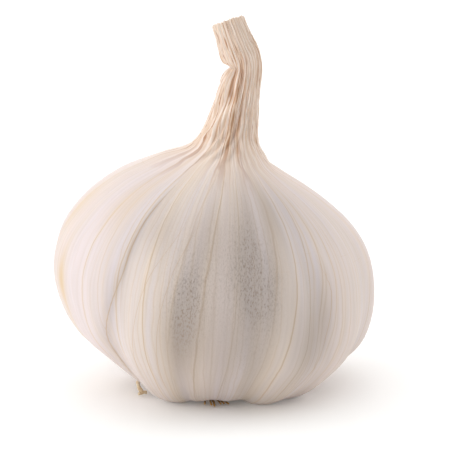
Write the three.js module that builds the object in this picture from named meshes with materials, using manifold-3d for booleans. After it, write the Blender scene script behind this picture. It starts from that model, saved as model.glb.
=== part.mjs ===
/**
 * Garlic bulb: a whole, dry, cured head standing on its cloves, with its
 * trimmed neck and the dry roots left on its basal plate.
 *
 * Units are millimetres and degrees, +Z is up and the front faces -Y. Angles
 * run anticlockwise from +X seen from above, so the front is at 270. The
 * origin is on the surface that the bulb rests on, under the middle of its
 * bounding box.
 *
 * Two pieces:
 *   bulb        the head in its papery wrapper and the neck above it, which
 *               grew as one body
 *   root_plate  the corky basal plate in the hollow under the head, with its
 *               dry roots
 */
import * as THREE from "three";
import { mergeVertices } from "three/addons/utils/BufferGeometryUtils.js";
import Module from "manifold-3d";

// ---------------------------------------------------------------- dimensions

// Skin mesh: rings from the hollow under the head to the middle of the cut end
const SKIN_SIDES = 84;
const SKIN_RINGS = 63;

// Half outline about the bulb's own axis: radius, height along the axis
const OUTLINE = [
  [0, 6.4], [4.5, 6.2], [8.0, 4.4], [10.8, 1.8],              // hollow for the root plate
  [14.2, 0.0], [19.0, 1.6], [24.0, 6.2],                      // feet of the cloves
  [28.6, 12.5], [30.4, 20.0], [29.3, 27.5],                   // belly
  [25.3, 33.8], [19.5, 38.6], [13.2, 42.0], [7.9, 44.8],      // shoulder
  [5.5, 47.8], [5.1, 51.5], [4.6, 55.0], [4.35, 58.0],        // neck
  [4.2, 60.0], [4.2, 61.8], [4.2, 63.5], [4.0, 66.0], [3.75, 69.0],
  [3.6, 70.2], [2.6, 69.6], [0, 69.2],                        // cut end
];

// Lean of the axis towards +X by height: it follows the head, then the neck
// kinks back over the other way
const LEAN = [[0, 0], [12, 4.8], [30, 5], [46, 8.5], [52, 11], [59.5, 11], [61.8, -4], [64, -23], [70, -19]];
const AXIS_START_X = -1.1;
const AXIS_TOP = 76;
const AXIS_STEP = 0.25;
const BOX_CENTRE = [0.1, 0.1];

// Sideways sag by height: the foot of the head spreads to the right and the
// shoulder rides to the left
const SAG = [[0, 2.9], [6, 2.3], [14, 0.5], [24, -0.9], [34, -1.2], [42, -1.5], [44.5, -1.5], [48, 0]];

// Cloves, each from its groove on to the next one. The groove's angle is at the
// shoulder, belly and foot, and its depth at the belly and foot. A higher edge
// makes that side of the groove, before it or after it, steeper at the belly.
// Then how far the clove swells and at what height, and how high its foot
// stands off the surface (a negative foot is pressed flat).
const CLOVES = [
  { groove: [30, 30, 27], depth: [0.9, 1.6], edge: [1.5, 1.5], swell: 0.5, belly: 22, foot: -0.4 },
  { groove: [66, 66, 64], depth: [0.8, 1.8], edge: [1.5, 2.2], swell: 0.3, belly: 20, foot: 0.4 },
  { groove: [104, 101, 102], depth: [0.9, 1.8], edge: [2.6, 1.4], swell: 0.6, belly: 21, foot: -0.4 },
  { groove: [140, 140, 138], depth: [0.8, 2.0], edge: [1.5, 1.5], swell: 0.2, belly: 24, foot: -0.4 },
  { groove: [181, 181, 178], depth: [0.8, 1.0], edge: [1.5, 1.5], swell: 0.6, belly: 26, foot: 3.7 },
  { groove: [241, 232, 225], depth: [1.0, 1.2], edge: [6.0, 1.3], swell: 0.3, belly: 14, foot: -0.2 },
  { groove: [266, 260, 258], depth: [0.5, 0.6], edge: [1.5, 1.5], swell: 0.3, belly: 18, foot: 1.0 },
  { groove: [279, 286, 291], depth: [0.5, 0.9], edge: [1.5, 1.5], swell: 0.5, belly: 15, foot: -0.3 },
  { groove: [302, 314, 320], depth: [0.9, 0.1], edge: [1.3, 3.2], swell: 0.5, belly: 15, foot: -0.3 },
  { groove: [342, 345, 340], depth: [0.8, 1.2], edge: [1.5, 1.5], swell: 0.1, belly: 20, foot: 0.5 },
];
const GROOVE_FADE = [[0, 1], [20, 1], [32, 0.5], [40, 0.18], [45, 0]];
const FOOT_ZONE = [4, 20];
const SHOULDER_ZONE = [12, 42];
const FOOT_EDGE = 1.5;
const SWELL_HEIGHT = 9;
const FOOT_FADE = [1.5, 11];
const HOLLOW_EDGE = [6.5, 11];

// Neck: its section narrows sideways and flattens front to back
const NECK_WIDTH = [[46, 1.0], [52, 0.88], [57, 0.86], [61.8, 0.82], [66, 0.82], [71, 0.82]];
const NECK_THICKNESS = [[46, 1.0], [52, 0.9], [60, 0.84], [71, 0.72]];

// Pinch where the neck folds over, on the inside of the bend
const PINCH = { height: 61.1, depth: 2.0, reach: 1.15, angle: 190, spread: 60 };

// Folds running along the neck: points of height and angle, depth (a negative
// one stands up as a ridge) and half width in degrees
const FOLDS = [
  { path: [[49, 281], [53, 287], [58, 276], [61, 272]], depth: 0.75, width: 7 },
  { path: [[54, 262], [57, 250], [61, 238]], depth: 0.45, width: 9 },
  { path: [[57, 324], [60, 326], [63, 328]], depth: 0.3, width: 7 },
  { path: [[47, 318], [50, 316], [54, 312]], depth: 0.4, width: 9 },
  { path: [[47, 218], [50, 236], [53, 254], [57, 277]], depth: -0.7, width: 12 },
  { path: [[50, 205], [53, 222], [56, 240]], depth: 0.5, width: 14 },
  { path: [[61.5, 186], [63.5, 186], [66, 188]], depth: -0.5, width: 50 },
  { path: [[46, 20], [54, 34], [62, 28]], depth: 0.7, width: 11 },
  { path: [[48, 92], [55, 80], [64, 96]], depth: 0.6, width: 11 },
  { path: [[46, 150], [53, 138], [60, 152]], depth: 0.6, width: 11 },
];
const FOLD_FADE = 2;
const DEEPEST_FOLD = 0.6; // share of the neck's radius

// Fibres of the neck: waves round it that climb it at a slant
const FIBRES = [{ count: 11, phase: 0 }, { count: 14, phase: 2 }, { count: 18, phase: 4 }];
const FIBRE_DEPTHS = [[44, 0], [49, 0.1], [60, 0.08], [64, 0.03], [71, 0.03]];

// Gathers where the wrapper draws in to the neck, fullest at the left front
const GATHER = { count: 22, depth: 0.34, slant: 5, angle: 262, spread: 34, elsewhere: 0.15 };
const GATHER_HEIGHTS = [[42.5, 0], [45.5, 1], [48, 0.8], [51.5, 0]];

// Slant of the cut across the neck: how much higher its front edge is
const CUT_SLANT = 0.65;
const CUT_FROM = [66, 69.5];
const CUT_RADIUS = 3.6;

// Gentle unevenness of the whole head: waves round it that drift as they climb
const UNEVEN = { waves: 7, depth: 0.1, slowest: 0.05, spread: 0.12, seed: 11 };

// Basal plate: half outline, radius and height, domed to follow the hollow
const PLATE_X = -1.1;
const PLATE_RADIUS = 7.2;
const PLATE_BOTTOM = 3.4;
const PLATE_OUTLINE = [
  [0, PLATE_BOTTOM], [5.8, PLATE_BOTTOM], [PLATE_RADIUS, 4.0], [6.7, 4.6], [4.0, 5.5], [0, 5.6],
];
const PLATE_SIDES = 28;
const PLATE_SEED = 5;

// Roots: strands sunk into the plate, trimmed short under it and left longer
// where they spread under the cloves. Angles and distances are from the
// plate's centre.
const ROOT = { sides: 5, radius: 0.42, taper: 0.25, sunk: 0.6, floor: 0.25, wander: 6 };
const SHORT_ROOTS = [{ ring: 1.6, count: 5 }, { ring: 3.8, count: 11 }, { ring: 5.9, count: 17 }];
const SHORT_ROOT_DROP = [1.3, 2.6];
const SHORT_ROOT_SPLAY = [0.5, 1.3];
const SPREADING_ROOTS = [
  { from: 266.5, to: 281.5, count: 7, reach: 17.4, radius: 0.25 },
  { from: 300, to: 352, count: 5, reach: 9.2, radius: 0.42 },
  { from: 20, to: 250, count: 17, reach: 8.4, radius: 0.42 },
];
const SPREAD_START = PLATE_RADIUS - 0.9;
const SPREAD_BEND = 2.4;
const LONG_ROOT_RADIUS = 0.46;
const LONG_ROOT = [
  [-6.4, -2.4, 3.7], [-9.6, -4.0, 2.5], [-12.1, -5.1, 2.1],
  [-13.8, -6.4, 2.6], [-14.3, -7.9, 2.4], [-13.9, -8.8, 1.4], [-13.5, -9.1, 0.75],
];
const LONG_ROOT_TIPS = [[-12.6, -8.8, 0.65], [-14.0, -9.9, 0.65]];

// ------------------------------------------------------------------- helpers

const { clamp, degToRad, euclideanModulo, smoothstep } = THREE.MathUtils;

/** Random numbers from 0 to 1, the same ones for the same seed. */
function makeRandom(seed) {
  let state = seed;
  return () => {
    state = (state + 0x6d2b79f5) | 0;
    let t = Math.imul(state ^ (state >>> 15), 1 | state);
    t = (t + Math.imul(t ^ (t >>> 7), 61 | t)) ^ t;
    return ((t ^ (t >>> 14)) >>> 0) / 4294967296;
  };
}

/** Smooth curve through [place, value] keys that never overshoots them. */
function keyed(place, keys) {
  const last = keys.length - 1;
  const x = clamp(place, keys[0][0], keys[last][0]);
  let i = 0;
  while (i < last - 1 && x >= keys[i + 1][0]) i += 1;
  const span = keys[i + 1][0] - keys[i][0];
  const t = (x - keys[i][0]) / span;
  const slopes = [keySlope(keys, i), keySlope(keys, i + 1)];
  return (
    (2 * t ** 3 - 3 * t ** 2 + 1) * keys[i][1] +
    (t ** 3 - 2 * t ** 2 + t) * span * slopes[0] +
    (3 * t ** 2 - 2 * t ** 3) * keys[i + 1][1] +
    (t ** 3 - t ** 2) * span * slopes[1]
  );
}

/** Slope at a key: the weighted harmonic mean of its two sides, or flat. */
function keySlope(keys, i) {
  if (i === 0 || i === keys.length - 1) return 0;
  const before = keys[i][0] - keys[i - 1][0];
  const after = keys[i + 1][0] - keys[i][0];
  const rise = (keys[i][1] - keys[i - 1][1]) / before;
  const nextRise = (keys[i + 1][1] - keys[i][1]) / after;
  if (rise * nextRise <= 0) return 0;
  const w1 = 2 * after + before;
  const w2 = after + 2 * before;
  return (w1 + w2) / (w1 / rise + w2 / nextRise);
}

/** Signed difference of two angles, from -180 to 180. */
function turn(angle, from) {
  return euclideanModulo(angle - from + 180, 360) - 180;
}

/** Bell curve: 1 at 0, falling to 1/e at one width. */
function bell(distance, width) {
  return Math.exp(-((distance / width) ** 2));
}

// ---------------------------------------------------------------- bulb shape

const outline = new THREE.SplineCurve(OUTLINE.map(([radius, height]) => new THREE.Vector2(radius, height)));

/** Points of the bent axis every `step` of height up to `top`, with its lean there. */
function traceAxis(step, top) {
  const points = [{ x: AXIS_START_X, z: 0, lean: 0 }];
  for (let height = step; height <= top; height += step) {
    const lean = degToRad(keyed(height - step / 2, LEAN));
    const below = points[points.length - 1];
    points.push({
      x: below.x + step * Math.sin(lean),
      z: below.z + step * Math.cos(lean),
      lean: degToRad(keyed(height, LEAN)),
    });
  }
  return points;
}

const axis = traceAxis(AXIS_STEP, AXIS_TOP);

/** The bent axis at a height along it. */
function axisAt(height) {
  const place = clamp(height / AXIS_STEP, 0, axis.length - 1.001);
  const i = Math.floor(place);
  const t = place - i;
  const mix = (key) => axis[i][key] * (1 - t) + axis[i + 1][key] * t;
  return { x: mix("x"), z: mix("z") + Math.min(height, 0), lean: mix("lean") };
}

/** Value at a height between a clove's [belly, foot] pair. */
function towardsFoot([belly, foot], height) {
  return foot + (belly - foot) * smoothstep(height, ...FOOT_ZONE);
}

/** Angle at a height of the groove that a clove starts from. */
function grooveAt({ groove: [shoulder, belly, foot] }, height) {
  return towardsFoot([belly, foot], height) + (shoulder - belly) * smoothstep(height, ...SHOULDER_ZONE);
}

/** The clove at an angle, the one after it, and the place across it from -1 to 1. */
function cloveAt(angle, height) {
  const count = CLOVES.length;
  for (let i = 0; i < count; i += 1) {
    const clove = CLOVES[i];
    const next = CLOVES[(i + 1) % count];
    const start = grooveAt(clove, height);
    const width = euclideanModulo(grooveAt(next, height) - start, 360);
    const along = euclideanModulo(angle - start, 360);
    if (along < width) return { clove, next, across: (2 * along) / width - 1 };
  }
  throw new Error("the grooves leave a gap");
}

/** How far the skin stands out from the plain outline because of the cloves. */
function cloveRelief(angle, radius, height) {
  const { clove, next, across } = cloveAt(angle, height);
  const outside = smoothstep(radius, ...HOLLOW_EDGE);
  const depth = towardsFoot(across < 0 ? clove.depth : next.depth, height) * keyed(height, GROOVE_FADE);
  const edge = towardsFoot([across < 0 ? clove.edge[1] : next.edge[0], FOOT_EDGE], height);
  const valley = (1 - Math.cos(Math.PI * Math.abs(across) ** edge)) / 2;
  const back = Math.cos((Math.PI * across) / 2) ** 2;
  const swell = clove.swell * back * bell(height - clove.belly, SWELL_HEIGHT);
  return outside * (swell - depth * valley);
}

/** How far the skin sags sideways at this angle. */
function sideways(angle, radius, height) {
  return keyed(height, SAG) * Math.cos(degToRad(angle)) * smoothstep(radius, ...HOLLOW_EDGE);
}

/** How high the foot of the clove at this angle stands off the surface. */
function footLift(angle, radius, height) {
  const { clove, across } = cloveAt(angle, height);
  const back = Math.cos((Math.PI * across) / 2) ** 2;
  return clove.foot * back * smoothstep(radius, ...HOLLOW_EDGE) * (1 - smoothstep(height, ...FOOT_FADE));
}

/** Waves round the head and up it, drawn once from the seed. */
function drawUnevenness() {
  const random = makeRandom(UNEVEN.seed);
  const waves = [];
  for (let i = 0; i < UNEVEN.waves; i += 1) {
    const up = UNEVEN.slowest + UNEVEN.spread * random();
    waves.push({ round: 1 + i, up, phase: 2 * Math.PI * random() });
  }
  return waves;
}

const unevenness = drawUnevenness();

/** Gentle bumps of the whole head, in millimetres outwards. */
function uneven(angle, radius, height) {
  let sum = 0;
  for (const { round, up, phase } of unevenness) {
    sum += Math.cos(round * degToRad(angle) + up * height + phase);
  }
  return sum * UNEVEN.depth * smoothstep(radius, ...HOLLOW_EDGE);
}

/** Folds, fibres, gathers and the pinch of the neck, in millimetres inwards. */
function neckRelief(angle, height) {
  const fibreDepth = keyed(height, FIBRE_DEPTHS);
  let depth = PINCH.depth * Math.exp(-Math.abs(height - PINCH.height) / PINCH.reach);
  depth *= bell(turn(angle, PINCH.angle), PINCH.spread);
  for (const fold of FOLDS) {
    const [low, high] = [fold.path[0][0], fold.path[fold.path.length - 1][0]];
    const ends = smoothstep(height, low - FOLD_FADE, low + FOLD_FADE) -
      smoothstep(height, high - FOLD_FADE, high + FOLD_FADE);
    depth += fold.depth * ends * bell(turn(angle, keyed(height, fold.path)), fold.width);
  }
  for (const fibre of FIBRES) {
    depth += fibreDepth * Math.cos(fibre.count * degToRad(angle + height) + fibre.phase);
  }
  const gathered = GATHER.elsewhere + (1 - GATHER.elsewhere) * bell(turn(angle, GATHER.angle), GATHER.spread);
  const wave = Math.cos(GATHER.count * degToRad(angle - GATHER.slant * height));
  return depth + GATHER.depth * gathered * keyed(height, GATHER_HEIGHTS) * wave;
}

/** How far the slanting cut raises the end of the neck at this angle. */
function cutSlant(angle, radius, height) {
  const share = Math.min(radius / CUT_RADIUS, 1) * smoothstep(height, ...CUT_FROM);
  return -CUT_SLANT * Math.sin(degToRad(angle)) * share;
}

/** A point of the skin at a station from 0 to 1 along the outline. */
function skinPoint(station, angle) {
  const place = outline.getPoint(station);
  const along = outline.getTangent(station);
  const out = cloveRelief(angle, place.x, place.y) + uneven(angle, place.x, place.y);
  const inwards = Math.min(neckRelief(angle, place.y), place.x * DEEPEST_FOLD);
  const sag = sideways(angle, place.x, place.y);
  const radius = Math.max(place.x + along.y * out + sag - inwards, 0);
  const height = place.y - along.x * out + cutSlant(angle, place.x, place.y);
  const centre = axisAt(height);
  const x = radius * Math.cos(degToRad(angle)) * keyed(height, NECK_WIDTH);
  const y = radius * Math.sin(degToRad(angle)) * keyed(height, NECK_THICKNESS);
  const z = centre.z - x * Math.sin(centre.lean) + footLift(angle, place.x, place.y);
  return new THREE.Vector3(centre.x + x * Math.cos(centre.lean), y, Math.max(z, 0));
}

/** Closed surface from rings of points between two end points. */
function closeRings(rings, first, last) {
  const sides = rings[0].length;
  const points = [first, ...rings.flat(), last];
  const lastIndex = points.length - 1;
  const at = (ring, side) => 1 + ring * sides + (side % sides);
  const index = [];
  for (let side = 0; side < sides; side += 1) {
    index.push(0, at(0, side + 1), at(0, side));
    for (let ring = 0; ring < rings.length - 1; ring += 1) {
      const [a, b] = [at(ring, side), at(ring, side + 1)];
      const [c, d] = [at(ring + 1, side), at(ring + 1, side + 1)];
      index.push(a, b, d, a, d, c);
    }
    index.push(lastIndex, at(rings.length - 1, side), at(rings.length - 1, side + 1));
  }
  const geometry = new THREE.BufferGeometry().setFromPoints(points);
  geometry.setIndex(index);
  return geometry;
}

/** The head and neck in one closed skin. */
function buildBulb() {
  const rings = [];
  for (let i = 1; i < SKIN_RINGS; i += 1) {
    const ring = [];
    for (let side = 0; side < SKIN_SIDES; side += 1) {
      ring.push(skinPoint(i / SKIN_RINGS, (360 * side) / SKIN_SIDES));
    }
    rings.push(ring);
  }
  return closeRings(rings, skinPoint(0, 0), skinPoint(1, 0));
}

// ---------------------------------------------------------- plate and roots

/** The corky disc. */
function buildPlate() {
  const profile = PLATE_OUTLINE.map((point) => new THREE.Vector2(...point));
  const disc = new THREE.LatheGeometry(profile, PLATE_SIDES);
  disc.rotateX(Math.PI / 2);
  disc.translate(PLATE_X, 0, 0);
  return disc;
}

/** One root: a tapering round strand through its points, cut off blunt. */
function buildStrand(points, radius) {
  const path = new THREE.CatmullRomCurve3(points.map((point) => new THREE.Vector3(...point)));
  const steps = points.length - 1;
  const frames = path.computeFrenetFrames(steps);
  const rings = [];
  for (let i = 0; i <= steps; i += 1) {
    const centre = path.getPointAt(i / steps);
    const ring = [];
    for (let side = 0; side < ROOT.sides; side += 1) {
      const turnBy = (2 * Math.PI * side) / ROOT.sides;
      const reach = radius * (1 - (ROOT.taper * i) / steps);
      ring.push(
        centre.clone()
          .addScaledVector(frames.normals[i], reach * Math.cos(turnBy))
          .addScaledVector(frames.binormals[i], reach * Math.sin(turnBy)),
      );
    }
    rings.push(ring);
  }
  return closeRings(rings, path.getPointAt(0), path.getPointAt(1));
}

/** Point at an angle and distance from the plate's centre. */
function fromPlate(angle, distance, height) {
  return [PLATE_X + distance * Math.cos(degToRad(angle)), distance * Math.sin(degToRad(angle)), height];
}

/** Random number in a [low, high] range. */
function between([low, high], random) {
  return low + (high - low) * random();
}

/** Points and radius of the roots trimmed short under the plate. */
function shortRoots(random) {
  const roots = [];
  for (const { ring, count } of SHORT_ROOTS) {
    for (let i = 0; i < count; i += 1) {
      const angle = (360 * (i + random())) / count;
      const drop = between(SHORT_ROOT_DROP, random);
      const splay = between(SHORT_ROOT_SPLAY, random);
      const wander = ROOT.wander * random();
      const points = [
        fromPlate(angle, ring, PLATE_BOTTOM + ROOT.sunk),
        fromPlate(angle + wander, ring + splay / 2, PLATE_BOTTOM - drop / 2),
        fromPlate(angle + 2 * wander, ring + splay, PLATE_BOTTOM - drop),
      ];
      roots.push({ points, radius: ROOT.radius });
    }
  }
  return roots;
}

/** Points and radius of the roots that spread outwards under the cloves. */
function spreadingRoots(random) {
  const roots = [];
  for (const { from, to, count, reach, radius } of SPREADING_ROOTS) {
    const low = ROOT.floor + radius;
    for (let i = 0; i < count; i += 1) {
      const angle = from + ((to - from) * (i + between([0.25, 0.75], random))) / count;
      const end = reach * between([0.92, 1], random);
      const bend = Math.min(SPREAD_START + SPREAD_BEND, (SPREAD_START + end) / 2);
      const points = [
        fromPlate(angle, SPREAD_START, PLATE_BOTTOM + ROOT.sunk),
        fromPlate(angle, (SPREAD_START + bend) / 2, (PLATE_BOTTOM + low) / 2),
        fromPlate(angle, bend, low),
        fromPlate(angle + ROOT.wander * random() / 2, end, low),
      ];
      roots.push({ points, radius });
    }
  }
  return roots;
}

const wasm = await Module();
wasm.setup();

/** A closed geometry as a solid that can be joined. */
function toSolid(geometry) {
  const bare = geometry.clone();
  bare.deleteAttribute("normal");
  bare.deleteAttribute("uv");
  const merged = mergeVertices(bare, 1e-4);
  return new wasm.Manifold(
    new wasm.Mesh({
      numProp: 3,
      vertProperties: new Float32Array(merged.attributes.position.array),
      triVerts: new Uint32Array(merged.index.array),
    }),
  );
}

/** A joined solid as a geometry. */
function toGeometry(solid) {
  const mesh = solid.getMesh();
  const geometry = new THREE.BufferGeometry();
  geometry.setAttribute("position", new THREE.BufferAttribute(mesh.vertProperties, 3));
  geometry.setIndex(new THREE.BufferAttribute(mesh.triVerts, 1));
  return geometry;
}

/** The basal plate with every root fused to it. */
function buildRootPlate() {
  const random = makeRandom(PLATE_SEED);
  const forkFrom = LONG_ROOT.slice(-2);
  const strands = [
    ...shortRoots(random),
    ...spreadingRoots(random),
    { points: LONG_ROOT, radius: LONG_ROOT_RADIUS },
    ...LONG_ROOT_TIPS.map((tip) => ({ points: [...forkFrom, tip], radius: LONG_ROOT_RADIUS })),
  ];
  let solid = toSolid(buildPlate());
  for (const { points, radius } of strands) solid = solid.add(toSolid(buildStrand(points, radius)));
  return toGeometry(solid);
}

// ------------------------------------------------------------------ assembly

const wrapperSkin = new THREE.MeshStandardMaterial({ color: 0xe0d3cb, roughness: 0.62, metalness: 0 });
const corkyRoot = new THREE.MeshStandardMaterial({ color: 0xb08a54, roughness: 0.85, metalness: 0 });

const bulb = new THREE.Mesh(buildBulb(), wrapperSkin);
bulb.name = "bulb";

const rootPlate = new THREE.Mesh(buildRootPlate(), corkyRoot);
rootPlate.name = "root_plate";

const garlic = new THREE.Group();
garlic.name = "garlic_bulb";
garlic.add(bulb, rootPlate);
garlic.position.set(-BOX_CENTRE[0], -BOX_CENTRE[1], 0);

export default garlic;
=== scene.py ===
"""Garlic bulb: the finished looks of one whole, dry, cured head of garlic.

The bulb stands on the feet of its cloves. Two pieces are dressed here: the head in its papery
wrapper with the dried neck above it, and the corky basal plate with its dry roots. Both repeat
the form of the solids that they stand for, from the same dimensions, on a finer mesh.

Lengths of the bulb are millimetres, angles are degrees anticlockwise from +X seen from above, so
the front of the bulb is at 270. Meshes, and the lengths of the studio, are in metres.
"""

import logging
import math
from collections.abc import Iterator
from dataclasses import dataclass, field
from enum import Enum

import bpy
import numpy as np
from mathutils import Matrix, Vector, noise


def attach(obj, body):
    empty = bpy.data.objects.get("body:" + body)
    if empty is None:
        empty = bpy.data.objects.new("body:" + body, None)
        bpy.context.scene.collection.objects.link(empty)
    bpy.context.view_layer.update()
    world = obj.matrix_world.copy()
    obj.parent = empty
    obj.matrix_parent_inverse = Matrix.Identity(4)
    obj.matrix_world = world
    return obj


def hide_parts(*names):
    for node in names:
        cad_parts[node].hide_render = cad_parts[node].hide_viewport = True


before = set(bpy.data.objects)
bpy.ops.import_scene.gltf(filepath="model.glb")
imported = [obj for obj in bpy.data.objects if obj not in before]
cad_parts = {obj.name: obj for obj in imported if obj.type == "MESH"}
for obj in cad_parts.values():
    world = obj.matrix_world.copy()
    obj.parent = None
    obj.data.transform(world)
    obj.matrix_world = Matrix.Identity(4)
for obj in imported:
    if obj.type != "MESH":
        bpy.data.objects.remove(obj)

log = logging.getLogger("garlic")

MM = 0.001
# The middle of the frame, in millimetres from where the plain form has its origin
BOX_CENTRE = (0.1, 0.1)

Array = np.ndarray
Object = bpy.types.Object
Tree = bpy.types.NodeTree
Socket = bpy.types.NodeSocket
Colour = str | Socket
Face = tuple[int, ...]
Point = tuple[float, float, float]
# A pair is mostly where something starts and ends, keys are pairs of place and value along a
# curve, and a rise is the value where something starts, the value where it is full, and its most
Pair = tuple[float, float]
Keys = tuple[Pair, ...]
Rise = tuple[float, float, float]


class Mark(Enum):
    """What is stored at the points of a mesh for its finish to read."""

    WAY = "skin_way"
    NECK = "neck"
    VALLEY = "valley"
    FOLD = "fold"
    STAIN = "stain"
    SOLE = "sole"
    CUT = "cut"
    LAP = "lap"
    # Patches of painted shade, mostly over the front of the head
    PAINTED_SHADE = "painted_shade"
    YELLOWED = "yellowed"
    PALE = "pale"


# ------------------------------------------------------------------- helpers


def hex_to_linear(code: str) -> tuple[float, float, float, float]:
    """Turn an sRGB hex colour into the linear RGBA that shaders take.

    Args:
        code: Colour such as "#E8D9D3".

    Returns:
        Linear red, green, blue and an alpha of 1.
    """
    knee, slope, lift, power = 0.04045, 12.92, 0.055, 2.4
    channels = [int(code[i : i + 2], 16) / 255 for i in (1, 3, 5)]
    linear = [c / slope if c <= knee else ((c + lift) / (1 + lift)) ** power for c in channels]
    return (*linear, 1.0)


def random_numbers(seed: int) -> Iterator[float]:
    """Draw the same run of numbers from 0 to 1 for the same seed.

    Args:
        seed: Any whole number.

    Yields:
        The next number.
    """
    mask, stride = 0xFFFFFFFF, 0x6D2B79F5
    state = seed
    while True:
        state = (state + stride) & mask
        t = ((state ^ (state >> 15)) * (1 | state)) & mask
        t = ((t + (((t ^ (t >> 7)) * (61 | t)) & mask)) & mask) ^ t
        yield ((t ^ (t >> 14)) & mask) / (mask + 1)


def keyed(place: Array, keys: Keys) -> Array:
    """Follow a smooth curve through keys without ever overshooting them.

    Args:
        place: Where to read the curve.
        keys: Pairs of place and value, in rising order of place.

    Returns:
        The curve's value at each place, held flat past both ends.
    """
    xs, values = np.array(keys, float).T
    span = np.diff(xs)
    rise = np.diff(values) / span
    slope = np.zeros(len(xs))
    for i in range(1, len(xs) - 1):
        if rise[i - 1] * rise[i] > 0:
            before, after = 2 * span[i] + span[i - 1], span[i] + 2 * span[i - 1]
            slope[i] = (before + after) / (before / rise[i - 1] + after / rise[i])
    x = np.clip(place, xs[0], xs[-1])
    i = np.clip(np.searchsorted(xs, x, side="right") - 1, 0, len(xs) - 2)
    t = (x - xs[i]) / span[i]
    return (
        (2 * t**3 - 3 * t**2 + 1) * values[i]
        + (t**3 - 2 * t**2 + t) * span[i] * slope[i]
        + (3 * t**2 - 2 * t**3) * values[i + 1]
        + (t**3 - t**2) * span[i] * slope[i + 1]
    )


def ramp(place: Array, low: float, high: float) -> Array:
    """Rise smoothly from 0 at low to 1 at high."""
    t = np.clip((place - low) / (high - low), 0, 1)
    return t * t * (3 - 2 * t)


def bell(distance: Array, width: float) -> Array:
    """Fall from 1 at no distance to 1/e at one width."""
    return np.exp(-((distance / width) ** 2))


def turn(angle: Array, origin: Array | float) -> Array:
    """Signed difference of two angles, from -180 to 180."""
    return np.mod(angle - origin + 180, 360) - 180


def wave(cycles: Array, phase: float = 0.0) -> Array:
    """Cosine of an angle in degrees."""
    return np.cos(np.radians(cycles) + phase)


def tube_faces(count: int, sides: int) -> list[Face]:
    """Faces that close a tube of rings between two end points.

    Args:
        count: How many rings there are.
        sides: Points in each ring.

    Returns:
        Faces over points in the order first end, rings, last end.
    """
    faces: list[Face] = []
    top = 1 + (count - 1) * sides
    for side in range(sides):
        beside = (side + 1) % sides
        faces.append((0, 1 + beside, 1 + side))
        for low in range(1, top, sides):
            faces.append((low + side, low + beside, low + sides + beside, low + sides + side))
        faces.append((top + sides, top + side, top + beside))
    return faces


def add_piece(name: str, points: list, faces: list[Face]) -> Object:
    """Link a smoothly shaded piece into the scene.

    Args:
        name: Plain name for the piece and its mesh.
        points: Its points in metres.
        faces: Its faces.

    Returns:
        The piece.
    """
    mesh = bpy.data.meshes.new(name)
    mesh.from_pydata(points, [], faces)
    mesh.polygons.foreach_set("use_smooth", [True] * len(mesh.polygons))
    piece = bpy.data.objects.new(name, mesh)
    bpy.context.scene.collection.objects.link(piece)
    return piece


def paint(piece: Object, mark: Mark, values: Array) -> None:
    """Store a number or a vector at each point, for the finish to read.

    Args:
        piece: The piece to store it on.
        mark: What the numbers mean.
        values: One number, or three, for each point.
    """
    kind, key = ("FLOAT_VECTOR", "vector") if values.ndim > 1 else ("FLOAT", "value")
    layer = piece.data.attributes.new(mark.value, kind, "POINT")
    layer.data.foreach_set(key, values.astype(np.float32).ravel())


def smooth_path(points: list[Vector], count: int) -> list[Vector]:
    """Run a Catmull-Rom curve through points.

    Args:
        points: Points that it passes through.
        count: How many spots to return.

    Returns:
        Spots along the curve, both ends among them.
    """
    last = len(points) - 1
    spots = []
    for number in range(count):
        place = last * number / (count - 1)
        i = min(int(place), last - 1)
        t = place - i
        p1, p2 = points[i], points[i + 1]
        p0 = points[i - 1] if i else 2 * p1 - p2
        p3 = points[i + 2] if i + 2 <= last else 2 * p2 - p1
        bend = (2 * p0 - 5 * p1 + 4 * p2 - p3) * t**2 + (3 * p1 - p0 - 3 * p2 + p3) * t**3
        spots.append((2 * p1 + (p2 - p0) * t + bend) / 2)
    return spots


def add_node(tree: Tree, kind: str, inputs: dict | None = None, **settings: object) -> bpy.types.Node:
    """Add a node with its settings, values and links.

    Args:
        tree: Where to add it.
        kind: The node's type.
        inputs: A value, or a socket to link, for inputs by name or number.
        **settings: Properties of the node itself.

    Returns:
        The new node.
    """
    node = tree.nodes.new(kind)
    for name, value in settings.items():
        setattr(node, name, value)
    for key, value in (inputs or {}).items():
        if isinstance(value, Socket):
            tree.links.new(value, node.inputs[key])
        else:
            node.inputs[key].default_value = value
    return node


def layered(tree: Tree, ground: Colour, *layers: tuple[Socket, Colour]) -> Socket:
    """Lay colours over one another.

    Args:
        tree: Where to mix them.
        ground: The lowest colour, as hex or as a socket.
        *layers: From the lowest up, how much of a layer shows, and its colour.

    Returns:
        The colour that they make.
    """
    below = hex_to_linear(ground) if isinstance(ground, str) else ground
    for share, colour in layers:
        over = hex_to_linear(colour) if isinstance(colour, str) else colour
        below = add_node(tree, "ShaderNodeMix", {0: share, 6: below, 7: over}, data_type="RGBA").outputs[2]
    return below


def share_of(tree: Tree, value: Socket, rise: Rise, *within: Socket) -> Socket:
    """Find how much of a layer shows: it follows a value smoothly, within other shares.

    Args:
        tree: The material's nodes.
        value: What it follows.
        rise: The value where it starts, the value where it is full, and its most.
        *within: Other shares that it is multiplied by.

    Returns:
        The share, from 0 to its most.
    """
    inputs = {"Value": value, "From Min": rise[0], "From Max": rise[1], "To Max": rise[2]}
    share = add_node(tree, "ShaderNodeMapRange", inputs, interpolation_type="SMOOTHSTEP").outputs[0]
    for other in within:
        share = add_node(tree, "ShaderNodeMath", {0: share, 1: other}, operation="MULTIPLY").outputs[0]
    return share


def blank_material(name: str) -> bpy.types.Material:
    """Start a material whose nodes are all still to be added.

    Args:
        name: Name for the substance and how it was made.

    Returns:
        The material.
    """
    material = bpy.data.materials.new(name)
    material.use_nodes = True
    material.node_tree.nodes.clear()
    return material


# ---------------------------------------------------------------- bulb form


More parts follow.
